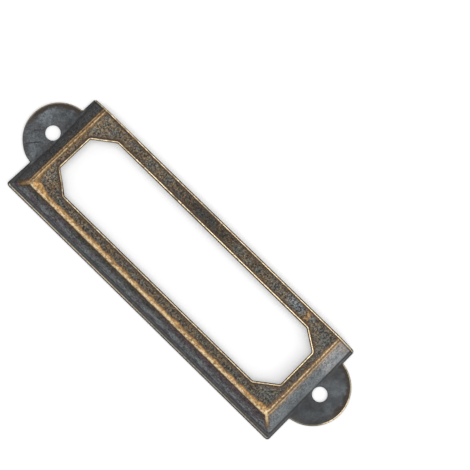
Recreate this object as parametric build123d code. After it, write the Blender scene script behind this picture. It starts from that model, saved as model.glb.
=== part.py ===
from build123d import *
import math
import os

# A drawer label holder pressed from one piece of sheet metal, in millimetres.
# X runs along the holder, Y towards the long side where the card goes in, and Z out
# of the drawer front. The origin is midway between the two screw holes, on the back.

# Sheet and height
SHEET = 0.6
HEIGHT = 3.0

# Frame outline, with the distance of each long side from the line of the screw holes
FRAME_LENGTH = 70.0
OPEN_SIDE = 10.6
CLOSED_SIDE = 13.4
CORNER_RADIUS = 0.6

# Round ears and their screw holes: how far the hole's centre stands out from the end
# of the frame, and how far the ear's own centre stands in from it
HOLE_DIAMETER = 3.0
HOLE_OUTSET = 1.0
EAR_RADIUS = 7.3
EAR_INSET = 0.8
EAR_ROOT_RADIUS = 0.3

# Raised face: the flat flange round its foot, which is wider along the closed side, the
# distance of the ridges from the outline and the inside radius of every bend
END_FLANGE = 0.7
SIDE_FLANGE = 1.0
RIDGE_INSET = 3.45
BEND = 0.4

# Width of the face left round the window, and how much each of the window's cut
# corners takes from its two sides
END_STRIP = 1.85
OPEN_STRIP = 3.4
CLOSED_STRIP = 2.75
WINDOW_CUT_X = 4.3
WINDOW_CUT_Y = 3.0
WINDOW_CORNER_RADIUS = 0.5

# Rounding that the die leaves on the upper side of the outline and the window
EDGE_ROLL = 0.2

# Worked out from the sizes above
END_SLOPE = math.atan2(HEIGHT - SHEET, RIDGE_INSET - END_FLANGE)
SIDE_SLOPE = math.atan2(HEIGHT - SHEET, RIDGE_INSET - SIDE_FLANGE)
OUTER_BEND = BEND + SHEET
HOLE_X = FRAME_LENGTH / 2 + HOLE_OUTSET
EAR_X = FRAME_LENGTH / 2 - EAR_INSET
OVERRUN = 4 * HEIGHT
NEAR = 0.001


def slope_inset(flange, slope, depth, z):
    """Distance from the outline at which a slope is at height z, at a depth in the sheet.

    The outer skin is at depth 0, and the inner one is a sheet's thickness below it.
    """
    return flange + depth / math.sin(slope) + (z - SHEET) / math.tan(slope)


def pressed_block(depth, foot_z, crown_z, bend):
    """Block under one skin of the raised face, with its three sloping sides.

    The slopes of the outer skin start at the inner edge of the flange. The fourth side
    runs on past the open edge, so that the bends reach the shear line whole.
    """
    rings = []
    far_y = OPEN_SIDE + OVERRUN
    for z in (foot_z, crown_z):
        end_inset = slope_inset(END_FLANGE, END_SLOPE, depth, z)
        near_y = slope_inset(SIDE_FLANGE, SIDE_SLOPE, depth, z) - CLOSED_SIDE
        ring = Rectangle(FRAME_LENGTH - 2 * end_inset, far_y - near_y)
        rings.append(Pos(0, (near_y + far_y) / 2, z) * ring)
    block = loft(rings, ruled=True)
    ridges_and_hips = [
        edge
        for edge in block.edges()
        if edge.center().Z > foot_z + NEAR and edge.center().Y < far_y - NEAR
    ]
    return fillet(ridges_and_hips, bend)


def blank():
    """Flat sheet under the whole holder, with both ears, run on past the open edge."""
    far_y = OPEN_SIDE + OVERRUN
    frame = Rectangle(FRAME_LENGTH, far_y + CLOSED_SIDE)
    outline = Pos(0, (far_y - CLOSED_SIDE) / 2) * frame
    for side in (-1, 1):
        outline += Pos(side * EAR_X, 0) * Circle(EAR_RADIUS)
    roots = [
        corner
        for corner in outline.vertices()
        if abs(corner.Y) <= EAR_RADIUS + NEAR
    ]
    outline = fillet(roots, EAR_ROOT_RADIUS)
    return extrude(outline, SHEET)


def foot_edges(part, depth, z):
    """Edges at height z where a skin of the raised face meets the flat sheet."""
    limit_x = FRAME_LENGTH / 2 - slope_inset(END_FLANGE, END_SLOPE, depth, z) + NEAR
    limit_y = slope_inset(SIDE_FLANGE, SIDE_SLOPE, depth, z) - CLOSED_SIDE - NEAR
    return [
        edge
        for edge in part.edges()
        if abs(edge.center().Z - z) < NEAR
        and abs(edge.center().X) < limit_x
        and limit_y < edge.center().Y < OPEN_SIDE + OVERRUN - NEAR
    ]


def pressed_sheet():
    """The sheet after pressing: ears, flange, slopes and face in one even thickness."""
    outer = pressed_block(0, SHEET, HEIGHT, OUTER_BEND)
    inner = pressed_block(SHEET, 0, HEIGHT - SHEET, BEND)
    part = blank() + outer
    part = fillet(foot_edges(part, 0, SHEET), BEND)
    part -= inner
    return fillet(foot_edges(part, SHEET, 0), OUTER_BEND)


def shear_open_side(part):
    """Cut the long open side off straight and round the four corners of the frame."""
    offcut = Box(2 * FRAME_LENGTH, 2 * OVERRUN, 4 * HEIGHT)
    part -= Pos(0, OPEN_SIDE + OVERRUN, 0) * offcut
    corners = [
        edge
        for edge in part.edges().filter_by(Axis.Z)
        if abs(abs(edge.center().X) - FRAME_LENGTH / 2) < NEAR
        and abs(edge.center().Y) > EAR_RADIUS + EAR_ROOT_RADIUS
    ]
    return fillet(corners, CORNER_RADIUS)


def window():
    """Cutter for the window, an oblong with its four corners cut off."""
    half_x = FRAME_LENGTH / 2 - RIDGE_INSET - END_STRIP
    top_y = OPEN_SIDE - OPEN_STRIP
    foot_y = RIDGE_INSET + CLOSED_STRIP - CLOSED_SIDE
    right_side = [
        (half_x - WINDOW_CUT_X, foot_y),
        (half_x, foot_y + WINDOW_CUT_Y),
        (half_x, top_y - WINDOW_CUT_Y),
        (half_x - WINDOW_CUT_X, top_y),
    ]
    left_side = [(-x, y) for x, y in reversed(right_side)]
    outline = Polygon(*right_side, *left_side, align=None)
    outline = fillet(outline.vertices(), WINDOW_CORNER_RADIUS)
    return extrude(outline, 2 * HEIGHT)


def screw_holes():
    """Cutters for the two screw holes, one in each ear."""
    drill = Cylinder(HOLE_DIAMETER / 2, 4 * SHEET)
    return [Pos(side * HOLE_X, 0, 0) * drill for side in (-1, 1)]


def roll_edges(part):
    """Round the upper side of every edge cut so far, as the die leaves it."""
    walls = []
    skins = []
    for face in part.faces():
        rise = face.normal_at().Z
        if abs(rise) < NEAR:
            walls += face.edges()
        elif rise > NEAR:
            skins += face.edges()
    upper = [edge for edge in skins if edge in walls]
    return fillet(upper, EDGE_ROLL)


def label_holder():
    """The whole holder: pressed, sheared and pierced. The screw holes stay sharp."""
    part = shear_open_side(pressed_sheet())
    part -= window()
    part = roll_edges(part)
    part -= screw_holes()
    return part


os.makedirs("parts", exist_ok=True)
holder = label_holder()
holder.label = "label_holder"
export_step(holder, "parts/label_holder.step")
print("label_holder: volume", round(holder.volume, 1), "mm3, box", holder.bounding_box().size)
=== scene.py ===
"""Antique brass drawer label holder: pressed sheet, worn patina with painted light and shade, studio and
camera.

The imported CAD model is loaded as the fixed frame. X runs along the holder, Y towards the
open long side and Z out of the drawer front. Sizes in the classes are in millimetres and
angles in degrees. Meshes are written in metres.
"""

import logging
import math
from dataclasses import dataclass, field
from enum import Enum

import bpy
import numpy as np
from mathutils import Matrix, Vector


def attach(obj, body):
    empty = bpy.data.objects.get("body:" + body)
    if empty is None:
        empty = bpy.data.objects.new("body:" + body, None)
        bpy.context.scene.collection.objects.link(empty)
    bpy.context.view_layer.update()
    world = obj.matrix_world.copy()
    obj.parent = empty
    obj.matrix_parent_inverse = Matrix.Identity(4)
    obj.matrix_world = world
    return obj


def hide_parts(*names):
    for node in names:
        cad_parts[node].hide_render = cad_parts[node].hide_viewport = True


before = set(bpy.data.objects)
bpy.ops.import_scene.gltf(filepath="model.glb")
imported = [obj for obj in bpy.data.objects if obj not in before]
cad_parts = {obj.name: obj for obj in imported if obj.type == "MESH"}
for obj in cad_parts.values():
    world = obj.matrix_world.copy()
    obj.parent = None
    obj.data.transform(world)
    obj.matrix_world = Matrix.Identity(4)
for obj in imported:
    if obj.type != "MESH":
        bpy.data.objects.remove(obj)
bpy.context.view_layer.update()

MM = 0.001
IMAGE_SIDE = 470
FAR = 1e3
LOG = logging.getLogger("label_holder")
Socket = bpy.types.NodeSocket
Pair = tuple[float, float]
Triple = tuple[float, float, float]
Knots = tuple[tuple[float, ...], tuple[float, ...]]


class Skin(Enum):
    """The two faces of the sheet, by the value of the mesh's skin attribute."""

    OUTER = 0
    INNER = 1


class End(Enum):
    """The two ends of the holder, by the sign of X."""

    LEFT = -1
    RIGHT = 1


def smooth_step(values: np.ndarray, low: float, high: float) -> np.ndarray:
    """Rises from 0 at low to 1 at high along 3t^2 - 2t^3."""
    t = np.clip((values - low) / (high - low), 0.0, 1.0)
    return t * t * (3.0 - 2.0 * t)


def eased(place: np.ndarray, knots: Knots) -> np.ndarray:
    """Runs through a value at each knot, level there and 3t^2 - 2t^3 in between.

    Args:
        place: places to look up.
        knots: rising places, and the value at each, kept beyond the first and the last.

    Returns:
        The value at each place.
    """
    places, given = knots[0], np.asarray(knots[1])
    spot = np.interp(place, places, np.arange(len(places)))
    low = np.minimum(spot.astype(int), len(places) - 2)
    t = smooth_step(spot - low, 0.0, 1.0)
    return given[low] * (1.0 - t) + given[low + 1] * t


def graded(start: float, stop: float, step: float, fine: Pair, growth: float = 0.25) -> np.ndarray:
    """Stations from start to stop, close together at both ends.

    The spacing at a point is the smallest of step and of each end's fine spacing plus
    growth times the distance to that end. Its inverse, summed along the run, counts the
    stations, and the stations stand at even counts.

    Args:
        start: first station.
        stop: last station.
        step: widest spacing.
        fine: spacing at the start and at the stop.
        growth: how fast the spacing widens.

    Returns:
        The stations, both ends included.
    """
    run = np.linspace(0.0, abs(stop - start), 400)
    spacing = np.minimum(step, np.minimum(fine[0] + growth * run, fine[1] + growth * run[::-1]))
    count = np.concatenate([[0.0], np.cumsum(np.diff(run) / (0.5 * (spacing[1:] + spacing[:-1])))])
    total = max(2, int(round(count[-1])))
    places = np.interp(np.linspace(0.0, count[-1], total + 1), count, run)
    stations = start + math.copysign(1.0, stop - start) * places
    stations[-1] = stop
    return stations


def chained(knots: list[float], step: float, fine: list[float]) -> np.ndarray:
    """Graded stations through every knot, with the fine spacing given for each."""
    runs = [graded(knots[i], knots[i + 1], step, fine[i: i + 2])[:-1] for i in range(len(knots) - 1)]
    return np.concatenate([*runs, [knots[-1]]])


def stepped(knots: list[float], counts: list[int]) -> np.ndarray:
    """Places through every knot, with a number of even steps from each to the next."""
    runs = [np.linspace(*knots[i: i + 2], count + 1)[:-1] for i, count in enumerate(counts)]
    return np.concatenate([*runs, [knots[-1]]])


def arc_height(radius: float, run: np.ndarray) -> np.ndarray:
    """Root of the radius squared less the run squared, with the run held on the arc."""
    return np.sqrt(np.maximum(radius**2 - np.clip(run, 0.0, radius) ** 2, 0.0))


def roll_levels(radius: float, count: int) -> np.ndarray:
    """Distances from a cut edge, inner first, that stand at even angles of its rounding.

    Each is radius times one minus the cosine of the angle from the wall.
    """
    return radius * (1.0 - np.cos(np.linspace(math.pi / 2, 0.0, count)))


def roll_drop(gap: np.ndarray, radius: float) -> np.ndarray:
    """How far a quarter-round edge lies below its sheet, at a distance gap from the wall.

    Inside the rounding it is radius less the height of the circle there.
    """
    return radius - arc_height(radius, radius - np.clip(gap, 0.0, radius))


def stand(name: str, data: bpy.types.ID) -> bpy.types.Object:
    """Adds an object with its data to the scene.

    Args:
        name: the object's name.
        data: its mesh, lamp or camera.

    Returns:
        The object, at the origin.
    """
    made = bpy.data.objects.new(name, data)
    bpy.context.scene.collection.objects.link(made)
    return made


def unit(vectors: np.ndarray) -> np.ndarray:
    """Rows over their own lengths."""
    return vectors / np.linalg.norm(vectors, axis=1, keepdims=True)


@dataclass
class PressProfile:
    """Section through a sloping side, as a height over the distance from the rim."""

    sheet: float = 0.6
    height: float = 3.0
    foot: float = 0.78
    ridge: float = 3.45
    foot_bend: float = 0.3
    ridge_bend: float = 1.0
    margin: float = 0.02
    steps: tuple[int, ...] = (10, 9, 4, 5)

    @property
    def slope(self) -> float:
        """Angle of the slope, in radians."""
        return math.atan2(self.height - self.sheet, self.ridge - self.foot)

    @property
    def foot_start(self) -> float:
        """Distance from the rim where the foot bend begins."""
        return self.foot - self.foot_bend * math.tan(self.slope / 2)

    @property
    def ridge_end(self) -> float:
        """Distance from the rim where the ridge bend ends."""
        return self.ridge + self.ridge_bend * math.tan(self.slope / 2)

    def radii(self, skin: Skin) -> Pair:
        """Radii of the foot bend and the ridge bend."""
        thick = self.sheet if skin is Skin.INNER else 0.0
        return self.foot_bend + thick, self.ridge_bend - thick

    def straight(self, skin: Skin) -> Pair:
        """Distances from the rim between which the slope is straight."""
        low, high = (radius * math.sin(self.slope) for radius in self.radii(skin))
        return self.foot_start + low, self.ridge_end - high

    def height_at(self, inset: np.ndarray, skin: Skin) -> np.ndarray:
        """Flat, arc, straight, arc, flat, with both skins' arcs about the same centres.

        Each arc is its centre's height less or plus the root of the radius squared less
        the distance squared, and the straight part has the tangent of the slope.

        Args:
            inset: distances from the rim.
            skin: which face of the sheet.

        Returns:
            The heights above the drawer front.
        """
        low_r, high_r = self.radii(skin)
        low_end, high_start = self.straight(skin)
        low_z = self.sheet + self.foot_bend
        low = low_z - arc_height(low_r, inset - self.foot_start)
        high = self.height - self.ridge_bend + arc_height(high_r, self.ridge_end - inset)
        middle = low_z - low_r * math.cos(self.slope) + math.tan(self.slope) * (inset - low_end)
        return np.where(inset < low_end, low, np.where(inset > high_start, high, middle))

    def levels(self) -> np.ndarray:
        """Distances from the rim, inner first, at which the slope is sampled.

        Returns:
            Even steps over the ridge bend, the straight part and the two foot bends.
        """
        outer_foot, top_start = self.straight(Skin.OUTER)
        knots = [self.ridge_end + self.margin, top_start, self.straight(Skin.INNER)[0],
                 outer_foot, self.foot_start - self.margin]
        return stepped(knots, self.steps)


@dataclass
class Ear:
    """Round ear of one end, with its screw hole, in the plane of the flange."""

    end: End
    centre: float
    radius: float
    root_radius: float = 0.3
    hole_x: float = 36.0
    hole_radius: float = 1.5
    frame_end: float = 35.0
    fan_x: float = 34.75
    ring_centre: float = 37.43
    ring_half: Pair = (3.0, 4.6)
    hole_rows: tuple[float, ...] = (0.0, 0.02, 0.05, 0.1, 0.18)
    rim_roll: float = 0.22

    @property
    def root(self) -> Pair:
        """Centre of the root rounding, which touches the frame's end and the ear's arc."""
        x = self.frame_end + self.root_radius
        return x, math.sqrt((self.radius + self.root_radius) ** 2 - (x - self.centre) ** 2)

    @property
    def arc_half_angle(self) -> float:
        """Half of the angle that the ear's own arc spans, in radians."""
        return math.atan2(self.root[1], self.root[0] - self.centre)

    def rim(self) -> np.ndarray:
        """Rim from the lower to the upper end of the root roundings, for the right end.

        It is an arc about the lower root centre, the ear's arc and the arc about the
        upper root centre, each sampled at even angles.

        Returns:
            The rim's points, anticlockwise.
        """
        half = self.arc_half_angle
        sweep = np.linspace(0.0, half, 8)
        upper = self.root - self.root_radius * np.stack([np.cos(sweep), np.sin(sweep)], axis=1)
        turn = np.linspace(half, -half, 78)[1:-1]
        arc = self.radius * np.stack([np.cos(turn), np.sin(turn)], axis=1) + [self.centre, 0.0]
        return np.concatenate([upper, arc, upper[::-1] * [1.0, -1.0]])[::-1]

    def gap(self, x: np.ndarray, y: np.ndarray) -> np.ndarray:
        """Distance inwards from the rim of this end, with x counted outwards.

        It is the least of the distance to the frame's end beyond the roots, to the
        ear's arc within its sector, and to the root roundings.

        Args:
            x: distances from the middle of the holder.
            y: places across it.

        Returns:
            The distances to the rim.
        """
        root_x, root_y = self.root
        straight = np.where(np.abs(y) >= root_y, self.frame_end - x, FAR)
        sector = np.arctan2(np.abs(y), x - self.centre) <= self.arc_half_angle
        arc = np.where(sector, self.radius - np.hypot(x - self.centre, y), FAR)
        root = np.hypot(x - root_x, np.abs(y) - root_y) - self.root_radius
        return np.minimum(np.minimum(straight, arc), root)

    def patch(self, border: np.ndarray) -> np.ndarray:
        """Flat sheet between the hole and a closed border, for the right end.

        Every border point is joined by a straight line to a point of an oval round the
        hole, on the ray from the fan's centre, and that point to the hole's edge on the
        ray from the hole's centre. Rows stand close together at both edges.

        Args:
            border: closed border, anticlockwise, first point repeated at the end.

        Returns:
            Plan points, shaped rows by border points by two.
        """
        fan = np.array([self.fan_x, 0.0])
        ray = unit(border - fan)
        start = (fan - [self.ring_centre, 0.0]) / self.ring_half
        reach = ray / self.ring_half
        a, b, c = (reach**2).sum(axis=1), (reach * start).sum(axis=1), (start**2).sum() - 1.0
        oval = fan + ray * ((-b + np.sqrt(b**2 - a * c)) / a)[:, None]
        hole = np.array([self.hole_x, 0.0])
        spoke = unit(oval - hole)
        inner_run = (np.linalg.norm(oval - hole, axis=1, keepdims=True) - self.hole_radius)[None]
        near = np.array(self.hole_rows)[:, None, None] * np.minimum(1.0, inner_run / 0.4)
        far = np.linspace(0.0, 1.0, 6)[1:-1, None, None]
        inner_rows = np.concatenate([near, near[-1] + (inner_run - near[-1]) * far])
        inner = hole + spoke * self.hole_radius + inner_rows * spoke

        outer_run = np.linalg.norm(border - oval, axis=1)[None, :, None]
        rolled = roll_levels(self.rim_roll, 7)[:, None, None] * np.minimum(1.0, outer_run / 0.5)
        rows = np.linspace(0.0, 1.0, 8)[:-1, None, None]
        outer_rows = np.concatenate([(outer_run - rolled[0]) * rows, outer_run - rolled])
        outer = oval + outer_rows * unit(border - oval)
        outer[-1] = border
        return np.concatenate([inner, outer])


@dataclass
class Window:
    """Oblong opening whose four corners are cut off, not quite alike, in the raised face."""

    half_y: float = 7.2
    right_x: float = 29.5
    left_x: Pair = (-29.7, -29.62)
    ends_low: Pair = (-3.9, -4.0)
    ends_high: Pair = (4.05, 4.6)
    sides_low: Pair = (-25.5, 25.2)
    sides_high: Pair = (-25.35, 25.55)
    corner_radius: float = 0.5
    slack: float = 1e-9

    def corners(self) -> np.ndarray:
        """The eight corners, anticlockwise from the lower left one on the long side."""
        return np.array([
            (self.sides_low[0], -self.half_y), (self.sides_low[1], -self.half_y),
            (self.right_x, self.ends_low[1]), (self.right_x, self.ends_high[1]),
            (self.sides_high[1], self.half_y), (self.sides_high[0], self.half_y),
            (self.left_x[1], self.ends_high[0]), (self.left_x[0], self.ends_low[0]),
        ])

    def _sides(self) -> tuple[np.ndarray, ...]:
        """Sides of the figure, and where its corners' arcs lie.

        Returns:
            The corners, each next corner, the sides' normals, and the corners' bisectors
            to the scale at which the arcs' centres are a radius down them.
        """
        corner = self.corners()
        follow = np.roll(corner, -1, axis=0)
        side = unit(follow - corner)
        out = np.stack([side[:, 1], -side[:, 0]], axis=1)
        bisector = np.roll(out, 1, axis=0) + out
        bisector /= (bisector * out).sum(axis=1, keepdims=True)
        return corner, follow, out, bisector

    def edge(self, place: np.ndarray, gap: np.ndarray) -> np.ndarray:
        """Points outside the rounded edge, at given places and distances.

        A place is the number of a corner plus the share of the side after it. A point
        near a corner goes onto the corner's arc along the line from the arc's centre,
        and every point then moves out along its own normal.

        Args:
            place: places round the window.
            gap: distances from the edge, one row each.

        Returns:
            Points shaped rows by places by two.
        """
        corner, follow, out, bisector = self._sides()
        whole = np.floor(place + self.slack)
        index, share = whole.astype(int) % len(corner), (place - whole)[:, None]
        point = corner[index] * (1.0 - share) + follow[index] * share
        normal = out[index].copy()
        centre = corner - bisector * self.corner_radius
        touch = self.corner_radius * np.linalg.norm(bisector - out, axis=1) + self.slack
        for k in range(len(corner)):
            near = np.linalg.norm(point - corner[k], axis=1) < touch[k]
            normal[near] = unit(point[near] - centre[k])
            point[near] = centre[k] + normal[near] * self.corner_radius
        return point[None] + gap[:, None, None] * normal[None]

    def gap(self, x: np.ndarray, y: np.ndarray) -> np.ndarray:
        """Distance outwards from the rounded edge.

        It is the distance to the eight-sided figure drawn through the corner arcs'
        centres, less the arcs' radius.

        Args:
            x: places along the holder.
            y: places across it.

        Returns:
            The distances, in the shape of the places.
        """
        corner, _, _, bisector = self._sides()
        inner = corner - bisector * self.corner_radius
        span = np.roll(inner, -1, axis=0) - inner
        point = np.stack([x, y], axis=-1)[..., None, :]
        along = ((point - inner) * span).sum(-1) / (span**2).sum(-1)
        nearest = inner + np.clip(along, 0.0, 1.0)[..., None] * span
        return np.linalg.norm(point - nearest, axis=-1).min(axis=-1) - self.corner_radius


@dataclass
class PlanNet:
    """Four-sided cells over the plan of the sheet, merged from patches."""

    patches: list[np.ndarray] = field(default_factory=list)

    def add(self, points: np.ndarray) -> None:
        """Adds a patch of points shaped rows by columns by two."""
        self.patches.append(points)

    def merge(self) -> tuple[np.ndarray, np.ndarray]:
        """Joins the patches where their points coincide.

        A patch of rows by columns gives cells (r, c), (r, c+1), (r+1, c+1), (r+1, c).
        A cell with a negative area in plan is turned round.

        Returns:
            The plan points and the cells, anticlockwise.
        """
        cells, base = [], 0
        for patch in self.patches:
            index = base + np.arange(patch[..., 0].size).reshape(patch.shape[:2])
            quads = np.stack([index[:-1, :-1], index[:-1, 1:], index[1:, 1:], index[1:, :-1]], axis=-1)
            cells.append(quads.reshape(-1, 4))
            base += index.size
        flat = np.round(np.concatenate([patch.reshape(-1, 2) for patch in self.patches]), 5) + 0.0
        merged, inverse = np.unique(flat, axis=0, return_inverse=True)
        quads = inverse.reshape(-1)[np.concatenate(cells)]
        corner = merged[quads]
        across, up = corner[:, 2] - corner[:, 0], corner[:, 3] - corner[:, 1]
        area = 0.5 * (across[:, 0] * up[:, 1] - across[:, 1] * up[:, 0])
        quads[area < 0] = quads[area < 0][:, ::-1]
        LOG.info("plan net: %d points, %d cells, least cell %.6f mm2",
                 len(merged), len(quads), np.abs(area).min())
        return merged, quads

    @staticmethod
    def rim(quads: np.ndarray, total: int) -> np.ndarray:
        """Directed edges that belong to one cell only.

        Args:
            quads: the cells.
            total: number of plan points.

        Returns:
            The start and end of each rim edge.
        """
        edges = np.stack([quads, np.roll(quads, -1, axis=1)], axis=-1).reshape(-1, 2)
        forward = edges[:, 0] * total + edges[:, 1]
        backward = edges[:, 1] * total + edges[:, 0]
        return edges[~np.isin(forward, backward)]


@dataclass
class Accidents:
    """How the photographed sheet differs from the square die.

    The ridge's lean is its shift in the middle and the rate across. Each wave is its
    height, its rates along and across, and its phase. A reach is places along X and the
    share of the shift at each, or the two places between which that share grows.
    """

    ridge_lean: Pair = (0.134, -0.0316)
    ridge_reach: Knots = ((-34.9, -34.3, -31.6, -29.6, -27.0), (0.0, 0.5, 1.0, 0.8, 0.0))
    rim_lean: Knots = ((-13.4, -7.0, 7.0, 10.6), (0.63, 0.27, 0.02, -0.12))
    rim_reach: Knots = ((-39.0, -35.4, -34.9, -34.3), (0.0, 1.0, 1.0, 0.0))
    face_shift: float = 0.22
    face_reach: Knots = ((-34.8, -34.3, 31.4, 34.1), (0.0, 1.0, 1.0, 0.0))
    hole_shift: float = 0.1
    hole_reach: Pair = (-41.2, -37.8)
    hole_side: Pair = (1.4, 6.0)
    hole_foot: Pair = (-34.5, -33.4)
    taper: float = 0.16
    taper_reach: Pair = (7.6, 10.6)
    low_taper: float = 0.09
    low_taper_reach: Pair = (8.0, 12.0)
    sink: float = 0.05
    sink_reach: Pair = (1.2, 3.4)
    waves: tuple[tuple[float, float, float, float], ...] = (
        (0.018, 0.31, 0.0, 0.6), (0.014, 0.83, 0.5, 2.0), (0.010, 1.9, -0.9, 0.0), (0.008, 0.7, 2.7, 1.0),
    )

    def lift(self, x: np.ndarray, y: np.ndarray, inset: np.ndarray) -> np.ndarray:
        """Slight waves of the raised sheet, a sum of long sines, less a small sink."""
        wave = sum(high * np.sin(a * x + b * y + phase) for high, a, b, phase in self.waves)
        return smooth_step(inset, *self.sink_reach) * (wave - self.sink)

    def moved(self, plan: np.ndarray, frame_end: float) -> np.ndarray:
        """Moves plan points as the copy in the photograph has them.

        The left end leans: its ridge by a straight line in Y, its foot by half of that
        and its rim by values at four places, all fading out on the face and across the
        ear. The raised face sits a little nearer the left end, with a shift that fades
        out at both feet, and both long sides come in towards that end. The sheet round
        the left screw hole moves as one, so that the hole stays round.

        Args:
            plan: plan points.
            frame_end: half the frame's length.

        Returns:
            The plan points of the real sheet.
        """
        x, y = plan[:, 0], plan[:, 1]
        lean = eased(x, self.ridge_reach) * (self.ridge_lean[0] + self.ridge_lean[1] * y)
        lean = lean + eased(x, self.rim_reach) * np.interp(y, *self.rim_lean)
        shift = eased(x, self.face_reach) * self.face_shift
        beside = smooth_step(np.abs(y), *self.hole_side)
        freed = beside + (1.0 - beside) * smooth_step(x, *self.hole_foot)
        held = self.hole_shift * smooth_step(x, *self.hole_reach)
        squeeze = self.low_taper * smooth_step(-y, *self.low_taper_reach)
        squeeze = squeeze - self.taper * smooth_step(y, *self.taper_reach)
        x = x - freed * (lean + shift) - (1.0 - freed) * held
        return np.stack([x, y + squeeze * (0.5 - x / (2 * frame_end))], axis=1)


@dataclass
class PressedHolder:
    """The whole holder as one pressed, sheared and pierced sheet of even thickness.

    The knots are where the stations fan out, and the fine spacings are those at the
    knots down an end and along a side.
    """

    frame_end: float = 35.0
    open_side: float = 10.6
    closed_side: float = 13.4
    corner_radius: float = 0.6
    side_foot_start: float = 0.93
    hip_width: float = 1.1
    hip_blend: float = 0.15
    rim_roll: float = 0.2
    roll_margin: float = 0.02
    window_roll: float = 0.28
    hole_break: float = 0.06
    strip: float = 0.4
    station_step: float = 0.4
    chord: float = 7.9
    knot_x: float = 26.6
    knot_low: float = 5.0
    knot_high: float = 5.5
    end_fine: tuple[float, ...] = (0.3, 0.3, 0.07, 0.2, 0.07, 0.3, 0.07)
    side_fine: tuple[float, ...] = (0.07, 0.07, 0.4, 0.07, 0.07)
    sharp: float = 50.0
    profile: PressProfile = field(default_factory=PressProfile)
    window: Window = field(default_factory=Window)
    accidents: Accidents = field(default_factory=Accidents)
    left_ear: Ear = field(default_factory=lambda: Ear(End.LEFT, centre=34.4, radius=7.09))
    right_ear: Ear = field(default_factory=lambda: Ear(End.RIGHT, centre=34.03, radius=7.46))

    @property
    def crest(self) -> float:
        """Distance from the rim of the first row of the slopes."""
        return float(self.profile.levels()[0])

    @property
    def side_table(self) -> tuple[list[float], list[float]]:
        """Insets, and the distances from the closed side that have the same profile.

        The closed side's flange is wider: its foot stands further in, and between the
        foot's start and the ridge's end the slope is shorter in proportion.
        """
        end = self.profile.ridge_end
        return [0.0, self.profile.foot_start, end, FAR], [0.0, self.side_foot_start, end, FAR]

    def _from_side(self, inset: np.ndarray) -> np.ndarray:
        """Distance from the closed side of the point that has the profile of an inset."""
        return np.interp(inset, *self.side_table)

    def _fanned(self, place: np.ndarray, knot: float, limit: float, out: np.ndarray) -> np.ndarray:
        """Stations spread beyond a knot, so that the mitre row keeps its corner.

        Up to the knot they stay. Beyond it, their distance from the knot grows in the
        ratio of the run beyond the knot with and without the step outwards.

        Args:
            place: distances from the middle at the crest.
            knot: where the spread begins.
            limit: the crest's corner.
            out: steps outwards from the crest.

        Returns:
            The distances from the middle, a row for each step.
        """
        ratio = (limit - knot + out[:, None]) / (limit - knot)
        return np.where(place > knot, knot + (place - knot) * ratio, place)

    def _end_stations(self) -> np.ndarray:
        """Stations down an end, from the strip at the open side to the mitre.

        Returns:
            Places across the holder, downwards.
        """
        low = self.crest - self.closed_side
        chord_out = self.crest - self._from_side(self.profile.levels()[-1])
        ratio = (-low - self.knot_low + chord_out) / (-low - self.knot_low)
        chord_low = -self.knot_low - (self.chord - self.knot_low) / ratio
        knots = [self.open_side - self.strip, self.chord, self.knot_high, 0.0,
                 -self.knot_low, chord_low, low]
        return chained(knots, self.station_step, self.end_fine)

    def _side_stations(self) -> np.ndarray:
        """Stations along a long side, between the two crest corners."""
        end, knot = self.frame_end - self.crest, self.knot_x
        return chained([-end, -knot, 0.0, knot, end], self.station_step, self.side_fine)

    def _end_rows(self, stations: np.ndarray, insets: np.ndarray) -> np.ndarray:
        """Plan of the right end's apron.

        Args:
            stations: places across the holder at the crest.
            insets: distances from the rim.

        Returns:
            Plan points, a row for each inset and a column for each station.
        """
        limit, out = self.closed_side - self.crest, self.crest - self._from_side(insets)
        across = -self._fanned(-stations, self.knot_low, limit, out)
        return np.stack(np.broadcast_arrays((self.frame_end - insets)[:, None], across), axis=-1)

    def _side_rows(self, stations: np.ndarray, insets: np.ndarray) -> np.ndarray:
        """Plan of the closed side's apron.

        Args:
            stations: places along the holder at the crest.
            insets: distances that have the profile of the same inset at an end.

        Returns:
            Plan points, a row for each inset and a column for each station.
        """
        limit, out = self.frame_end - self.crest, self.crest - insets
        along = np.sign(stations) * self._fanned(np.abs(stations), self.knot_x, limit, out)
        across = (self._from_side(insets) - self.closed_side)[:, None]
        return np.stack(np.broadcast_arrays(along, across), axis=-1)

    def _face_ring(self, net: PlanNet, ends: np.ndarray, sides: np.ndarray) -> None:
        """Adds the face between the window and the crest.

        Station by station it runs straight from the window, first along the window's
        normal and then to the matching station of the crest or the open strip.

        Args:
            net: the net to add to.
            ends: stations down an end.
            sides: stations along a long side.
        """
        x = self.frame_end - self.crest
        low, high = self.crest - self.closed_side, self.open_side - self.strip
        corners = ((sides, low), (x, ends[::-1]), (sides[::-1], high), (-x, ends))
        loop = [np.stack(np.broadcast_arrays(*side), axis=1) for side in corners]
        loop = np.concatenate([*(side[:-1] for side in loop[:3]), loop[3]])
        along = np.concatenate([[0.0], np.cumsum(np.linalg.norm(np.diff(loop, axis=0), axis=1))])
        width, rise, turn = 2 * x, high - low, x - self.knot_x
        right, left = width, 2 * width + rise
        knots = [0.0, turn, width - turn, right + (-self.knot_low - low),
                 right + (self.knot_high - low), right + rise + turn, left - turn,
                 left + (high - self.knot_high), left + (high + self.knot_low), left + rise]
        first_cut = (-self.knot_low - low) / (-self.knot_low - low + turn)
        places = [-1.0 + first_cut, *np.arange(8.0), 7.0 + first_cut]
        place = np.interp(along, knots, places) % 8.0
        near = self.window.edge(place, np.concatenate([roll_levels(self.window_roll, 8)[::-1], [0.38, 0.5]]))
        near[:, -1] = near[:, 0]
        share = np.linspace(0.0, 1.0, 10)[1:, None, None]
        net.add(np.concatenate([near, near[-1] + (loop - near[-1]) * share]))

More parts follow.
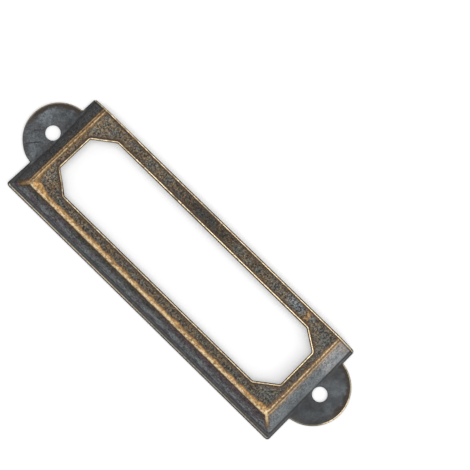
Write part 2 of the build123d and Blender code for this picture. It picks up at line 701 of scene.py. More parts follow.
    def _apron(self, net: PlanNet, ends: np.ndarray, sides: np.ndarray) -> None:
        """Adds the slopes, the flange beside the ears, the strip at the open side and the ears.

        Args:
            net: the net to add to.
            ends: stations down an end.
            sides: stations along a long side.
        """
        slope = self.profile.levels()
        roll = roll_levels(self.rim_roll + self.roll_margin, 8)
        rim = np.concatenate([np.linspace(slope[-1], roll[0] + self.roll_margin, 4)[:-1], roll])
        low = np.argmin(np.abs(self._end_rows(ends, slope[-1:])[0, :, 1] + self.chord))
        high = np.argmin(np.abs(ends - self.chord))
        for end in (End.RIGHT, End.LEFT):
            for stations, insets in ((ends, slope), (ends[: high + 1], rim), (ends[low:], rim)):
                net.add(self._end_rows(stations, insets) * [end.value, 1.0])
        insets = np.concatenate([slope, rim[1:]])
        net.add(self._side_rows(sides, insets))
        outer = self.frame_end - insets
        across = np.concatenate([-outer[::-1], sides[1:-1], outer])
        up = self.open_side - np.concatenate([[self.strip, 0.3], roll])
        net.add(np.stack(np.meshgrid(across, up), axis=-1))
        lower = self._end_rows(ends[low: low + 1], rim)[:, 0]
        upper = self._end_rows(ends[high: high + 1], rim)[:, 0]
        chord = self._end_rows(ends[high: low + 1], slope[-1:])[0]
        for ear in (self.left_ear, self.right_ear):
            arc = ear.rim()
            lead = np.linspace(lower[-1], arc[0], 4)[1:-1]
            tail = np.linspace(arc[-1], upper[-1], 4)[1:-1]
            border = np.concatenate([lower, lead, arc, tail, upper[::-1], chord[1:]])
            net.add(ear.patch(border) * [ear.end.value, 1.0])

    def gaps(self, plan: np.ndarray) -> dict[str, np.ndarray]:
        """Distances that the heights, the wear and the painted light and shade go by, for every plan point.

        The inset is the least distance to the three sides that slope, eased across the
        hips: where two sides are nearly as far, it drops by a quarter of the easing
        width times the square of what is left of that width.

        Args:
            plan: plan points.

        Returns:
            Named distances in millimetres, and the side that each point belongs to.
        """
        x, y = plan[:, 0], plan[:, 1]
        far_x = np.abs(x)
        from_end, from_side = self.frame_end - far_x, y + self.closed_side
        side_inset = np.interp(from_side, *self.side_table[::-1])
        ear = np.where(x < 0, self.left_ear.gap(far_x, y), self.right_ear.gap(far_x, y))
        apart = np.abs(from_end - side_inset)
        overlap = np.clip(self.hip_width - apart, 0, None) / self.hip_width
        toward_end = smooth_step(side_inset - from_end, -self.hip_blend, self.hip_blend)
        return {
            "inset": np.minimum(from_end, side_inset) - overlap**2 * self.hip_width / 4,
            "hip_gap": apart / math.sqrt(2),
            "rim_gap": np.minimum(ear, from_side),
            "free_gap": self.open_side - y,
            "window_gap": self.window.gap(x, y),
            "hole_gap": np.hypot(far_x - self.right_ear.hole_x, y) - self.right_ear.hole_radius,
            "end_side": toward_end * np.sign(x),
        }

    def heights(self, plan: np.ndarray, gaps: dict[str, np.ndarray], skin: Skin) -> np.ndarray:
        """Profile height at the inset, less the rolled edges, plus the sheet's waves.

        Args:
            plan: plan points.
            gaps: their distances.
            skin: which face of the sheet.

        Returns:
            The heights.
        """
        inset = gaps["inset"]
        z = self.profile.height_at(inset, skin) + self.accidents.lift(plan[:, 0], plan[:, 1], inset)
        rolls = {"rim_gap": self.rim_roll, "free_gap": self.rim_roll,
                 "window_gap": self.window_roll, "hole_gap": self.hole_break}
        if skin is Skin.OUTER:
            for name, radius in rolls.items():
                z = z - roll_drop(gaps[name], radius)
        return z

    def settle(self, plan: np.ndarray) -> np.ndarray:
        """Moves plan points from the square die to the real outline.

        In the square of side radius at each corner of the frame, a point goes along its
        ray from the square's inner corner until its distance equals the larger of its
        two offsets. The accidents of the copy follow.

        Args:
            plan: plan points on the die.

        Returns:
            The plan points of the real sheet.
        """
        rounded = plan.copy()
        for sign_x in (-1.0, 1.0):
            for sign_y, side in ((1.0, self.open_side), (-1.0, self.closed_side)):
                sign = np.array([sign_x, sign_y])
                centre = sign * (np.array([self.frame_end, side]) - self.corner_radius)
                offset = (rounded - centre) * sign
                inside = (offset > 1e-6).all(axis=1)
                reach = offset[inside]
                scale = reach.max(axis=1) / np.linalg.norm(reach, axis=1)
                rounded[inside] = centre + reach * scale[:, None] * sign
        return self.accidents.moved(rounded, self.frame_end)

    def build(self) -> bpy.types.Object:
        """Makes the closed mesh: both skins over the plan, and walls along every rim.

        Returns:
            The holder's object, at the origin, with the wear distances as attributes.
        """
        net = PlanNet()
        ends, sides = self._end_stations(), self._side_stations()
        self._face_ring(net, ends, sides)
        self._apron(net, ends, sides)
        plan, quads = net.merge()
        gaps, placed, total = self.gaps(plan), self.settle(plan), len(plan)
        skins = [np.column_stack([placed, self.heights(plan, gaps, skin)]) for skin in Skin]
        rim = PlanNet.rim(quads, total)
        walls = np.stack([rim[:, 1], rim[:, 0], rim[:, 0] + total, rim[:, 1] + total], axis=1)
        faces = np.concatenate([quads, quads[:, ::-1] + total, walls])
        points = np.concatenate(skins) * MM
        mesh = bpy.data.meshes.new("pressed_holder")
        mesh.from_pydata(points, [], faces.tolist())
        mesh.validate()
        mesh.polygons.foreach_set("use_smooth", np.ones(len(mesh.polygons), dtype=bool))
        mesh.set_sharp_from_angle(angle=math.radians(self.sharp))
        layers = {name: np.tile(values, 2) for name, values in gaps.items()}
        layers["skin"] = np.repeat([skin.value for skin in Skin], total)
        for name, values in layers.items():
            layer = mesh.attributes.new(name, "FLOAT", "POINT")
            layer.data.foreach_set("value", values.astype(np.float32))
        LOG.info("holder mesh: %d points, %d faces, %d rim edges", len(points), len(faces), len(rim))
        return stand("pressed_holder", mesh)


def colour(code: str) -> tuple[float, float, float, float]:
    """Linear colour of a hexadecimal code, by the sRGB curve for each channel.

    Args:
        code: six digits for red, green and blue.

    Returns:
        The three channels and full opacity.
    """
    channels = [int(code[i: i + 2], 16) / 255 for i in (0, 2, 4)]
    linear = [c / 12.92 if c <= 0.04045 else ((c + 0.055) / 1.055) ** 2.4 for c in channels]
    return (*linear, 1.0)


class NodeSheet:
    """Short calls for the shader nodes of one material, or of the world.

    An input takes a socket, a plain value or a colour's hexadecimal code.
    """

    def __init__(self, owner: bpy.types.Material | bpy.types.World) -> None:
        """Clears the owner's nodes and keeps its tree.

        Args:
            owner: the material or the world.
        """
        owner.use_nodes = True
        self.tree = owner.node_tree
        self.tree.nodes.clear()

    def node(self, kind: str, fed: dict | None = None, **settings: object) -> bpy.types.Node:
        """Adds a node, sets its properties and then feeds its inputs.

        Args:
            kind: the node's type, without its first word.
            fed: what goes into its inputs, by name or by place.
            settings: its properties.

        Returns:
            The node.
        """
        made = self.tree.nodes.new(f"ShaderNode{kind}")
        for name, value in settings.items():
            setattr(made, name, value)
        for key, value in (fed or {}).items():
            if isinstance(value, Socket):
                self.tree.links.new(value, made.inputs[key])
            else:
                made.inputs[key].default_value = colour(value) if isinstance(value, str) else value
        return made

    def attribute(self, name: str) -> Socket:
        """Reads one of the mesh's own distances."""
        return self.node("Attribute", attribute_name=name).outputs["Fac"]

    def math(self, operation: str, *values: object) -> Socket:
        """Runs a Math operation over its numbers, two at a time from the left.

        Args:
            operation: name of the operation.
            values: sockets or plain numbers.

        Returns:
            The result's socket, or the value itself if it is the only one.
        """
        total, *others = values
        for value in others:
            total = self.node("Math", {0: total, 1: value}, operation=operation).outputs[0]
        return total

    def plus(self, *values: object) -> Socket:
        """Sum of the numbers."""
        return self.math("ADD", *values)

    def minus(self, *values: object) -> Socket:
        """First number less the others."""
        return self.math("SUBTRACT", *values)

    def times(self, *values: object) -> Socket:
        """Product of the numbers."""
        return self.math("MULTIPLY", *values)

    def most(self, *values: object) -> Socket:
        """Largest of the numbers."""
        return self.math("MAXIMUM", *values)

    def unsigned(self, value: Socket) -> Socket:
        """Number without its sign."""
        return self.node("Math", {0: value}, operation="ABSOLUTE").outputs[0]

    def span(self, value: object, low: float, high: float, first: float = 0.0, last: float = 1.0) -> Socket:
        """Maps low to first and high to last, smoothly and clamped."""
        fed = dict(enumerate((value, low, high, first, last)))
        return self.node("MapRange", fed, interpolation_type="SMOOTHSTEP").outputs[0]

    def band(self, gap: object, centre: float, half: float, soft: float) -> Socket:
        """1 within half of the centre, falling to 0 over soft beyond it."""
        return self.span(self.unsigned(self.minus(gap, centre)), half, half + soft, 1.0, 0.0)

    def blend(self, share: object, first: object, second: object) -> Socket:
        """Number between first and second."""
        return self.node("Mix", {0: share, 2: first, 3: second}, data_type="FLOAT").outputs[0]

    def mix(self, share: object, first: object, second: object) -> Socket:
        """Colour between first and second."""
        return self.node("Mix", {0: share, 6: first, 7: second}, data_type="RGBA").outputs[2]

    def lay(self, base: object, over: object, *shares: object) -> Socket:
        """Colour laid over the base by the product of the shares."""
        return self.mix(self.times(*shares), base, over)

    def tint(self, base: Socket, factor: Socket) -> Socket:
        """Colour times a number."""
        fed = {0: 1.0, 6: base, 7: factor}
        return self.node("Mix", fed, data_type="RGBA", blend_type="MULTIPLY").outputs[2]

    def scaled(self, scale: Triple, turn: float = 0.0, shift: Triple = (0.0, 0.0, 0.0)) -> Socket:
        """Object coordinates in millimetres, moved, turned about Z and then scaled.

        Args:
            scale: factors along the turned axes.
            turn: angle about Z, in degrees.
            shift: the point that becomes the origin, in millimetres.

        Returns:
            The vector socket.
        """
        vector = self.node("TexCoord").outputs["Object"]
        steps = (
            {"Location": tuple(-s for s in shift), "Scale": (1 / MM,) * 3},
            {"Rotation": (0.0, 0.0, -math.radians(turn))},
            {"Scale": scale},
        )
        for step in steps:
            fed = {"Vector": vector, **step}
            vector = self.node("Mapping", fed, vector_type="POINT").outputs[0]
        return vector

    def noise(self, scale: float, detail: float = 3.0, rough: float = 0.55, offset: float = 0.0,
              turn: float = 0.0, stretch: Triple = (1.0, 1.0, 1.0), distortion: float = 0.0) -> Socket:
        """Noise whose cells are about one over scale millimetres wide."""
        where = self.scaled(tuple(scale * s for s in stretch), turn, (offset, offset * 0.7, offset * 0.3))
        return self.node("TexNoise", {"Vector": where, "Scale": 1.0, "Detail": detail, "Roughness": rough,
                                      "Distortion": distortion}).outputs["Fac"]

    def place(self, turn: float = 0.0, shift: Triple = (0.0, 0.0, 0.0)) -> tuple[Socket, Socket]:
        """Plan place in millimetres, as the X and Y sockets."""
        where = self.scaled((1.0, 1.0, 1.0), turn, shift)
        return tuple(self.node("SeparateXYZ", {0: where}).outputs[:2])

    def oval(self, centre: Pair, half: Pair, soft: float = 0.7) -> Socket:
        """1 in the middle of an oval, in plan millimetres, falling to 0 at its rim.

        Args:
            centre: the oval's centre.
            half: its half sizes along X and Y.
            soft: how much of the way to the rim the fall takes.

        Returns:
            The socket.
        """
        where = self.scaled((1.0 / half[0], 1.0 / half[1], 0.0), 0.0, (*centre, 0.0))
        away = self.node("VectorMath", {0: where}, operation="LENGTH")
        return self.span(away.outputs["Value"], 1.0, 1.0 - soft)

    def stroke(self, start: Pair, stop: Pair, width: float) -> Socket:
        """A thin stroke from start to stop, in plan millimetres.

        Args:
            start: first end.
            stop: last end.
            width: full width of the stroke.

        Returns:
            A socket that is 1 on the stroke and 0 away from it.
        """
        length = math.dist(start, stop)
        middle = ((start[0] + stop[0]) / 2, (start[1] + stop[1]) / 2, 0.0)
        turn = math.degrees(math.atan2(stop[1] - start[1], stop[0] - start[0]))
        along, across = self.place(turn, middle)
        return self.times(self.band(along, 0.0, length * 0.35, length * 0.15),
                          self.band(across, 0.0, 0.0, width / 2))

    def seen(self) -> Socket:
        """1 for the rays that show a surface: of the camera, of a gloss and through glass."""
        path = self.node("LightPath").outputs
        return self.most(path["Is Camera Ray"], path["Is Glossy Ray"], path["Is Transmission Ray"])


class HolderSheet(NodeSheet):
    """Nodes of the holder's material, with the mesh's own distances and the plan place."""

    distances: tuple[str, ...] = (
        "inset", "hip_gap", "rim_gap", "free_gap", "window_gap", "hole_gap", "end_side", "skin",
    )

    def __init__(self, owner: bpy.types.Material) -> None:
        """Reads what the coat, the wear and the painted light and shade go by.

        Args:
            owner: the holder's material.
        """
        super().__init__(owner)
        read = [self.attribute(name) for name in self.distances]
        self.inset, self.hip, self.rim, self.free, self.window, self.hole, self.side_of, self.skin = read
        self.along, self.across = self.place()


@dataclass(frozen=True)
class AntiqueBrass:
    """Dark patina over brass, rubbed through along the ridges and the cut edges, with painted highlights
    along them and painted light and shade on the slopes and the face.

    Depth, metallic and roughness are for the patina and for the bare brass with its painted
    highlight lines. Each shade is an oval's centre, its half sizes and the light it takes, each
    gouge its two ends and its width, and each set of scratches its angle and the offset of its noise.
    """

    name: str = "antique_brass"
    ear_cool: str = "575d61"
    ear_dark: str = "3d4043"
    ear_brown: str = "332c28"
    flange: str = "464749"
    flange_left: str = "353738"
    right_slope_lit_low: str = "676c6e"
    right_slope_lit_high: str = "878889"
    left_slope_shade: str = "3a3b3c"
    side_foot: str = "656a6c"
    side_head: str = "393a35"
    plum: str = "473a42"
    face_cool: str = "4a4c48"
    face_warm: str = "594830"
    face_dark: str = "2a2724"
    face_fleck: str = "75705e"
    face_blue: str = "626e78"
    black_marks_and_shade: str = "1e1d1c"
    umber: str = "452f19"
    amber: str = "97703f"
    brass: str = "cfa469"
    pale: str = "fbe6bd"
    depth: Pair = (0.92, 0.78)
    metallic: Pair = (0.35, 0.55)
    roughness: Pair = (0.5, 0.38)
    specular: float = 0.3
    bump_strength: float = 0.6
    bump_depth: float = 0.08
    shades: tuple[tuple[Pair, Pair, float], ...] = (
        ((-3.0, 9.2), (12.0, 4.0), 0.64), ((8.0, 9.2), (9.0, 4.0), 0.2),
        ((30.3, 0.0), (1.4, 5.0), 0.24), ((-35.2, 5.0), (1.0, 4.5), 0.45),
        ((-38.3, 5.0), (4.5, 3.4), 0.3), ((-38.5, -5.0), (5.0, 3.4), 0.25),
        ((37.8, -4.4), (6.4, 5.0), 0.5), ((35.4, -5.6), (0.8, 2.6), 0.4),
        ((35.6, 5.4), (1.0, 3.0), 0.3),
    )
    gouges: tuple[tuple[Pair, Pair, float], ...] = (
        ((-38.6, -5.3), (-36.4, -2.7), 0.3), ((-39.2, -2.3), (-37.6, -0.7), 0.28),
    )
    scratch_turns: tuple[Pair, ...] = ((27.0, 51.0), (-63.0, 63.0), (74.0, 71.0))

    def _slopes(self, n: HolderSheet, blotch: Socket, spot: Socket) -> Socket:
        """Coat of the slopes: streaked on the closed side with a painted highlight at its foot, painted
        light on the right end's slope and painted shade on the left end's.

        Args:
            n: the material's nodes.
            blotch: broad noise.
            spot: fine noise.

        Returns:
            The colour socket.
        """
        streak = n.noise(1.6, 3.0, 0.6, 31.0, stretch=(0.22, 1.0, 1.0))
        # Painted highlight: the closed side's slope is paler towards its foot and darker towards the ridge.
        side = n.mix(n.span(n.inset, 1.3, 2.4), self.side_foot, self.side_head)
        side = n.lay(side, self.plum, n.span(streak, 0.5, 0.6), 0.75)
        side = n.lay(side, self.black_marks_and_shade, n.span(streak, 0.47, 0.36), 0.6)
        side = n.lay(side, self.plum, n.span(n.along, -2.0, 10.0), n.span(n.inset, 1.7, 2.3), 0.5)
        drawn = n.noise(1.5, 3.0, 0.6, 93.0, stretch=(1.0, 0.22, 1.0))
        # Painted light: the right end's slope is paler, more so towards the open side and towards its foot.
        right = n.mix(n.span(n.across, 2.6, 4.8), self.right_slope_lit_low, self.right_slope_lit_high)
        right = n.tint(right, n.span(n.inset, 1.9, 1.0, 1.0, 1.2))
        right = n.lay(right, self.face_blue, n.span(blotch, 0.46, 0.6), 0.3)
        right = n.tint(right, n.span(drawn, 0.4, 0.62, 0.92, 1.2))
        rubbed = n.most(n.times(n.span(n.inset, 2.1, 2.9), 0.45),
                        n.times(n.oval((33.0, 9.6), (1.6, 1.6)), 0.5))
        right = n.lay(right, self.amber, rubbed, n.span(spot, 0.42, 0.6))
        slope = n.lay(side, right, n.span(n.side_of, 0.0, 0.8))
        # Painted shade: the left end's slope is near black.
        slope = n.lay(slope, self.left_slope_shade, n.span(n.side_of, 0.0, -0.8))
        return n.lay(slope, self.plum, n.span(spot, 0.55, 0.66), 0.25)

    def _face(self, n: HolderSheet, blotch: Socket, spot: Socket) -> Socket:
        """Coat of the raised face: warm and cool blotches, dark spots and pale flecks, with painted light on
        the left end's corners and painted shade towards the right end.

        Args:
            n: the material's nodes.
            blotch: broad noise.
            spot: fine noise.

        Returns:
            The colour socket.
        """
        bruise = n.noise(1.2, 3.0, 0.7, 87.0)
        fleck = n.noise(2.6, 3.0, 0.7, 27.0)
        stain = n.stroke((24.1, 7.0), (23.7, 10.9), 1.9)
        face = n.mix(n.span(blotch, 0.38, 0.62), self.face_cool, self.face_warm)
        face = n.lay(face, self.plum, n.span(bruise, 0.52, 0.64), 0.5)
        face = n.lay(face, self.face_blue, n.oval((20.6, 9.2), (3.4, 1.8)), 0.6)
        face = n.lay(face, self.face_dark, n.span(spot, 0.52, 0.42), 0.8)
        face = n.lay(face, self.face_fleck, n.span(fleck, 0.54, 0.66), 0.65)
        face = n.lay(face, self.amber, stain, n.span(fleck, 0.36, 0.56, 0.1, 0.5))
        face = n.lay(face, self.face_cool, n.span(n.along, 25.5, 29.0), 0.4)
        # Painted light on the left end's corners and painted shade towards the right end.
        lit = n.times(n.span(n.along, -27.0, -31.0), n.span(n.unsigned(n.across), 3.0, 7.0, 0.35, 1.0))
        dim = n.span(n.along, 24.0, 31.0, 0.97, 0.88)
        return n.tint(face, n.times(dim, n.plus(1.0, n.times(lit, 0.42))))

    def _shade(self, n: HolderSheet) -> Socket:
        """How much darker the coat is in places: ovals, the left foot and the low strip.

        Args:
            n: the material's nodes.

        Returns:
            Socket of the share of the light that is lost.
        """
        ovals = [n.times(n.oval(centre, half), share) for centre, half, share in self.shades]
        left_foot = n.times(n.span(n.inset, -0.9, 0.1), n.span(n.inset, 0.85, 0.7),
                            n.span(n.side_of, -0.2, -0.8), 0.4)
        low_strip = n.times(n.span(n.across, -7.0, -7.6), n.span(n.inset, 3.8, 4.2),
                            n.span(n.along, 0.0, 16.0, 0.2, 0.27))
        return n.most(*ovals, left_foot, low_strip)

    def _patina(self, n: HolderSheet) -> Socket:
        """Colour of the dark coat: cool on the ears, by side on the slopes with painted light and shade,
        warm on the face, and shaded in places.

        Args:
            n: the material's nodes.

        Returns:
            The colour socket.
        """
        cloud = n.noise(0.3, 3.0, 0.55, distortion=0.4)
        blotch = n.noise(0.5, 3.0, 0.75, 5.0)
        spot = n.noise(2.3, 3.0, 0.7, 17.0)
        ear = n.mix(n.span(cloud, 0.36, 0.64), self.ear_cool, self.ear_dark)
        ear = n.lay(ear, self.ear_brown, n.span(spot, 0.54, 0.7), 0.4)
        ear = n.tint(ear, n.span(n.along, -5.0, 5.0, 1.0, 0.82))
        flange = n.mix(n.span(n.side_of, -0.2, -0.8), self.flange, self.flange_left)
        coat = n.lay(flange, ear, n.span(n.hole, 6.4, 5.4))
        coat = n.lay(coat, self._slopes(n, blotch, spot), n.span(n.inset, 0.62, 0.9))
        coat = n.lay(coat, self._face(n, blotch, spot), n.span(n.inset, 3.4, 3.9))
        share = n.minus(
            n.plus(n.span(n.inset, 0.6, 2.2, 0.4, 0.65), n.span(n.inset, 3.3, 3.8, 0.0, 0.35)),
            n.times(n.span(n.side_of, 0.2, 0.8), n.span(n.inset, 3.4, 2.8), 0.25),
        )
        grain = n.span(n.noise(2.4, 4.0, 0.9, 11.0), 0.41, 0.59, 0.0, 2.35)
        coat = n.tint(coat, n.blend(share, 1.0, grain))
        return n.tint(coat, n.minus(1.0, self._shade(n)))

    def _crests(self, n: HolderSheet) -> tuple[Socket, Socket, Socket]:
        """Along the ridges and hips: wear as a brown halo and a mottled gold band, and bright lines of worn
        brass with a painted highlight.

        Args:
            n: the material's nodes.

        Returns:
            Sockets of the halo, the band and the lines.
        """
        on_end = n.unsigned(n.side_of)
        to_right = n.span(n.along, -5.0, 5.0)
        drift = n.minus(n.noise(0.45, 3.0, 0.6, 41.0), 0.5)
        ragged = n.minus(n.noise(2.4, 4.0, 0.7, 3.0), 0.5)
        broken = n.span(n.noise(1.7, 4.0, 0.7, 77.0), 0.36, 0.56)
        near = n.plus(n.inset, n.times(ragged, 0.45))
        corner = n.times(n.span(n.hip, 2.4, 0.2), n.blend(to_right, 0.75, 0.3))
        short = n.minus(n.plus(n.blend(on_end, 3.95, 3.85), n.times(drift, 1.2), corner), near)
        past = n.minus(near, n.blend(on_end, 2.86, 2.72))
        past_right = n.times(on_end, to_right, n.span(past, 0.5, 0.2))
        halo = n.times(n.span(past, -0.3, 0.02), n.span(short, -0.5, 0.1), n.minus(1.0, past_right))
        torn = n.blend(n.span(n.hip, 1.8, 0.5), 0.5, 0.2)
        side_band = n.times(n.span(past, 0.05, 0.25), n.span(short, -0.25, 0.3),
                            n.blend(broken, torn, 1.0))
        end_band = n.times(n.span(past, 0.0, 0.2), n.span(short, -0.2, 0.4),
                           n.blend(broken, 0.1, 0.55), n.blend(to_right, 1.0, 0.8))
        band = n.blend(on_end, side_band, end_band)

        # Bright lines along the ridges, and lower down along the hips: worn brass with a painted highlight
        # along the bends.
        wander = n.plus(n.inset, n.times(drift, 0.2), n.times(ragged, 0.15))
        side_line = n.times(n.band(wander, 3.27, 0.1, 0.28), n.blend(broken, 0.05, 1.0))
        end_line = n.most(n.times(n.band(wander, 3.5, 0.03, 0.12), 0.85),
                          n.times(n.band(wander, 2.98, 0.02, 0.12), 0.6))
        end_line = n.times(end_line, n.blend(broken, 0.1, 1.0), n.blend(to_right, 0.72, 0.68))
        line = n.blend(on_end, side_line, end_line)

        hip_near = n.times(n.plus(n.hip, n.times(ragged, 0.35)), n.blend(to_right, 0.65, 0.9))
        hip_halo = n.times(n.band(hip_near, 0.0, 0.3, 0.35), n.span(n.inset, 0.8, 1.6),
                           n.span(n.inset, 4.2, 3.4), n.blend(to_right, 1.0, 0.75))
        hip_band = n.times(n.band(hip_near, 0.0, 0.17, 0.24), n.span(n.inset, 0.9, 2.6),
                           n.span(n.inset, 4.0, 3.4), n.blend(broken, 0.1, 1.0),
                           n.blend(to_right, 0.6, 1.0))
        hip_line = n.times(n.band(hip_near, 0.0, 0.07, 0.2), n.span(n.inset, 1.6, 3.0),
                           n.span(n.inset, 3.9, 3.3), n.blend(to_right, 0.15, 0.8))
        return n.most(halo, hip_halo), n.most(band, hip_band), n.most(line, hip_line)

    def _rims(self, n: HolderSheet) -> tuple[Socket, Socket, Socket]:
        """Along the cut edges: dark borders of painted shade, worn brown borders, and bright lines of worn
        brass with a painted highlight.

        Args:
            n: the material's nodes.

        Returns:
            Sockets of the dark borders, the brown borders and the lines.
        """
        rolled = n.math("MINIMUM", n.window, n.free)
        to_right = n.span(n.along, -6.0, 6.0)
        upper = n.span(n.across, -4.0, 1.0)
        on_ear = n.span(n.hole, 6.3, 5.8)
        on_side = n.span(n.unsigned(n.side_of), 0.6, 0.3)
        drift = n.minus(n.noise(0.5, 3.0, 0.6, 52.0), 0.5)
        ragged = n.minus(n.noise(2.2, 3.0, 0.6, 3.0), 0.5)
        broken = n.span(n.noise(1.3, 4.0, 0.7, 63.0), 0.36, 0.52, 0.5, 1.0)
        brown = n.times(n.span(n.plus(rolled, n.times(ragged, 0.6)), 1.2, 0.4), n.span(n.inset, 3.2, 3.9))
        ear_gap = n.minus(n.plus(n.rim, n.times(drift, 2.4), n.times(ragged, 0.8)),
                          n.times(to_right, 0.25))
        ear_brown = n.times(n.span(ear_gap, 1.35, 0.7), on_ear, n.blend(upper, 0.4, 1.3),
                            n.span(n.inset, 0.4, 0.0))
        plain = n.times(n.span(n.along, -16.0, -29.0), n.span(n.across, -6.9, -6.0))
        # Painted shade: a dark border at every cut edge and a dark line just inside the rolled edges.
        border = n.times(n.span(n.math("MINIMUM", rolled, n.rim), 0.19, 0.1),
                         n.blend(on_ear, 0.95, 0.2), n.blend(plain, 1.0, 0.35))
        dark = n.most(border, n.times(n.band(rolled, 0.52, 0.05, 0.14), 0.75),
                      n.times(n.band(n.rim, 0.58, 0.06, 0.14), on_side, 0.75))
        torn = n.blend(n.span(n.noise(0.7, 3.0, 0.6, 44.0), 0.42, 0.58), n.blend(to_right, 0.5, 0.8), 1.0)
        # Bright lines along the window, the open side, the ears and the closed side: worn brass with a
        # painted highlight on the rolled edge.
        from_line = n.minus(n.plus(rolled, n.times(ragged, 0.06)), n.blend(plain, 0.3, 0.2))
        line = n.times(n.band(from_line, 0.0, 0.04, 0.09), broken, torn,
                       n.span(n.across, -6.0, 6.0, 0.8, 1.3), n.span(n.free, 0.6, 1.2, 0.75, 1.0))
        right_share = n.most(n.blend(upper, 0.2, 0.45), n.band(n.across, 0.0, 2.5, 2.5))
        ear_share = n.blend(to_right, n.blend(upper, 0.02, 0.3), right_share)
        rim_share = n.most(n.times(on_ear, ear_share), n.times(on_side, n.blend(to_right, 0.4, 0.22)))
        rim_line = n.times(n.band(n.rim, n.blend(on_side, 0.13, 0.28), 0.04, 0.09), rim_share, broken)
        return dark, n.most(brown, ear_brown), n.most(line, rim_line)

    def make(self) -> bpy.types.Material:
        """Builds the material from the mesh's own distances and Object noise.

        Returns:
            The finished material.
        """
        material = bpy.data.materials.new(self.name)
        n = HolderSheet(material)
        front = n.minus(1.0, n.skin)
        halo, band, line = (n.times(wear, front) for wear in self._crests(n))
        dark_rim, brown_rim, bright_rim = (n.times(wear, front) for wear in self._rims(n))

        speck = n.noise(2.8, 4.0, 0.7, 23.0)
        rust = n.mix(n.span(speck, 0.45, 0.6), self.ear_brown, self.umber)
        rust = n.mix(n.span(n.inset, 0.5, 3.0), n.mix(0.65, rust, self.black_marks_and_shade), self.umber)
        gold = n.mix(n.span(speck, 0.42, 0.6), self.amber, self.brass)
        bright = n.mix(n.span(speck, 0.36, 0.5), self.brass, self.pale)
        base = n.lay(self._patina(n), rust, brown_rim, 0.8)
        base = n.lay(base, self.umber, halo, 0.8)
        base = n.lay(base, gold, band)
        # Bright lines of worn brass with a painted highlight on the ridges and cut edges, and painted shade
        # at the cut edges.
        base = n.lay(base, bright, line)
        base = n.lay(base, self.black_marks_and_shade, dark_rim)
        base = n.lay(base, bright, bright_rim)
        # Grime and painted shade along the foot crease of the slopes, weaker close to the holes.
        fold = n.plus(n.inset, n.times(n.span(n.side_of, 0.2, 0.8), 0.13))
        base = n.lay(base, self.black_marks_and_shade, n.band(fold, 0.72, 0.05, 0.2),
                     n.span(n.hole, 0.1, 0.6, 0.5, 1.0), 0.7)
        base = n.lay(base, self.black_marks_and_shade, n.span(n.hole, 0.22, 0.05), 0.45)

        cuts = [n.span(n.noise(3.0, 2.0, 0.5, offset, turn, (0.09, 2.0, 1.0)), 0.66, 0.71)
                for turn, offset in self.scratch_turns]
        scratch = n.times(n.most(*cuts), n.span(n.inset, 0.5, 3.6, 0.25, 1.0), front)
        base = n.lay(base, n.mix(n.span(speck, 0.4, 0.6), self.amber, self.brass), scratch, 0.4)
        gouged = n.most(*(n.stroke(*gouge) for gouge in self.gouges))
        base = n.lay(base, self.black_marks_and_shade, gouged, front, 0.9)

        # Worn brass together with the painted highlight lines.
        bare = n.most(band, line, bright_rim)
        lift = n.plus(n.times(speck, 1.2), n.times(n.noise(1.4, 3.0, 0.6), 0.8))
        worn = n.plus(n.times(scratch, 0.5), n.times(gouged, 1.4), n.times(bare, 0.25))
        bump = n.node("Bump", {"Strength": self.bump_strength, "Distance": self.bump_depth * MM,
                                         "Height": n.minus(lift, worn)})
        shader = n.node("BsdfPrincipled", {
            "Base Color": n.tint(base, n.blend(bare, *self.depth)),
            "Metallic": n.blend(bare, *self.metallic),
            "Roughness": n.plus(n.blend(bare, *self.roughness), n.times(n.minus(speck, 0.5), 0.3)),
            "Specular IOR Level": self.specular,
            "Normal": bump.outputs[0],
        })
        n.node("OutputMaterial", {"Surface": shader.outputs[0]})
        return material


@dataclass(frozen=True)
class WhiteFloor:
    """Plain white paper that stays white to the camera and keeps soft shadows."""

    name: str = "white_paper"
    paper: str = "f4f4f4"
    glow: float = 0.12

    def make(self) -> bpy.types.Material:
        """Diffuse paper with a glow that doesn't light the holder's matt coat.

        Returns:
            The finished material.
        """
        material = bpy.data.materials.new(self.name)
        n = NodeSheet(material)
        diffuse = n.node("BsdfDiffuse", {"Color": self.paper})
        glow = n.node("Emission", {"Strength": n.times(n.seen(), self.glow)})
        both = n.node("AddShader", {0: diffuse.outputs[0], 1: glow.outputs[0]})
        n.node("OutputMaterial", {"Surface": both.outputs[0]})
        return material


@dataclass(frozen=True)
class Softbox:
    """A square area lamp that faces the holder, in metres and watts.

    Its direction runs from the holder to the lamp.
    """

    name: str
    direction: Triple
    distance: float
    power: float
    size: float = 0.9

    def hang(self) -> None:
        """Adds the lamp to the scene."""
        data = bpy.data.lights.new(self.name, "AREA")
        data.shape, data.size, data.energy = "SQUARE", self.size, self.power
        lamp = stand(self.name, data)
        toward = Vector(self.direction).normalized()
        lamp.location = toward * self.distance
        lamp.rotation_mode = "QUATERNION"
        lamp.rotation_quaternion = toward.to_track_quat("Z", "Y")


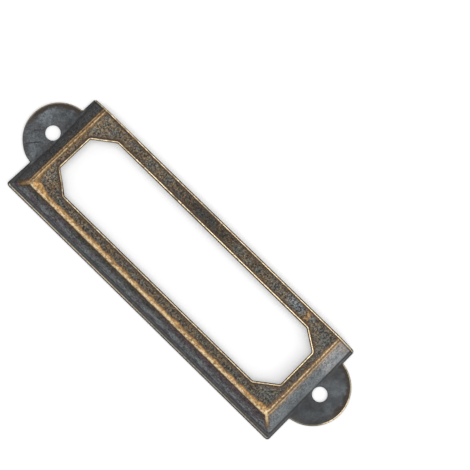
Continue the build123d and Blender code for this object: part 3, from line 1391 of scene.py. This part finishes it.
@dataclass
class Studio:
    """Floor, lamps, world and the camera at the photograph's angle.

    The clip distances and half the floor's side are in metres.
    """

    tilt_x: float = 3.46
    tilt_y: float = -2.96
    roll: float = 44.45
    distance: float = 1000.0
    pixels_per_mm: float = 5.19
    axis_x: float = 9.38
    axis_y: float = 5.54
    sensor: float = 36.0
    clip: Pair = (0.05, 20.0)
    floor_half: float = 2.5
    floor_drop: float = 0.02
    world_strength: float = 0.44
    lamps: tuple[Softbox, ...] = (
        Softbox("overhead_softbox", (-0.08, -0.02, 1.0), 1.2, 6.6),
        Softbox("end_softbox", (1.0, 0.1, 1.4), 1.1, 4.3),
    )

    def camera(self) -> None:
        """Looks down the tilted axis, with the picture's right turned from X by the roll."""
        tilt_x, tilt_y, roll = (math.radians(a) for a in (self.tilt_x, self.tilt_y, self.roll))
        back = Vector((math.tan(tilt_x), math.tan(tilt_y), 1.0)).normalized()
        turned = Vector((math.cos(roll), math.sin(roll), 0.0))
        right = (turned - back * turned.dot(back)).normalized()
        up = back.cross(right)
        data = bpy.data.cameras.new("camera")
        data.sensor_width = self.sensor
        data.lens = self.pixels_per_mm * self.distance * self.sensor / IMAGE_SIDE
        data.clip_start, data.clip_end = self.clip
        camera = stand("camera", data)
        place = (right * self.axis_x + up * self.axis_y + back * self.distance) * MM
        camera.matrix_world = Matrix.Translation(place) @ Matrix((right, up, back)).transposed().to_4x4()
        bpy.context.scene.camera = camera

    def floor(self) -> None:
        """A broad square just under the holder's back."""
        half, z = self.floor_half, -self.floor_drop * MM
        mesh = bpy.data.meshes.new("floor")
        corners = [(-half, -half, z), (half, -half, z), (half, half, z), (-half, half, z)]
        mesh.from_pydata(corners, [], [(0, 1, 2, 3)])
        mesh.materials.append(WhiteFloor().make())
        floor = stand("floor", mesh)

    def world(self) -> None:
        """White to the camera and in reflections, softer as a light."""
        world = bpy.data.worlds.new("studio_world")
        bpy.context.scene.world = world
        n = NodeSheet(world)
        white = (1.0, 1.0, 1.0, 1.0)
        light = n.node("Background", {"Color": white, "Strength": self.world_strength})
        backdrop = n.node("Background", {"Color": white})
        mix = n.node("MixShader", {0: n.seen(), 1: light.outputs[0], 2: backdrop.outputs[0]})
        n.node("OutputWorld", {0: mix.outputs[0]})

    def build(self) -> None:
        """Sets up the camera, the floor, the world and the lamps."""
        self.camera()
        self.floor()
        self.world()
        for lamp in self.lamps:
            lamp.hang()
        bpy.context.scene.view_settings.view_transform = "Standard"


def main() -> None:
    """Builds the studio and the holder, dresses it and reports it."""
    logging.basicConfig(level=logging.INFO, format="%(name)s: %(message)s")
    Studio().build()
    LOG.info("studio ready")
    holder = PressedHolder().build()
    holder.data.materials.append(AntiqueBrass().make())
    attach(holder, "root")
    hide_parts("label_holder")
    LOG.info("piece %s rides on root and replaces label_holder", holder.name)
    bpy.context.view_layer.update()


if __name__ == "__main__":
    main()
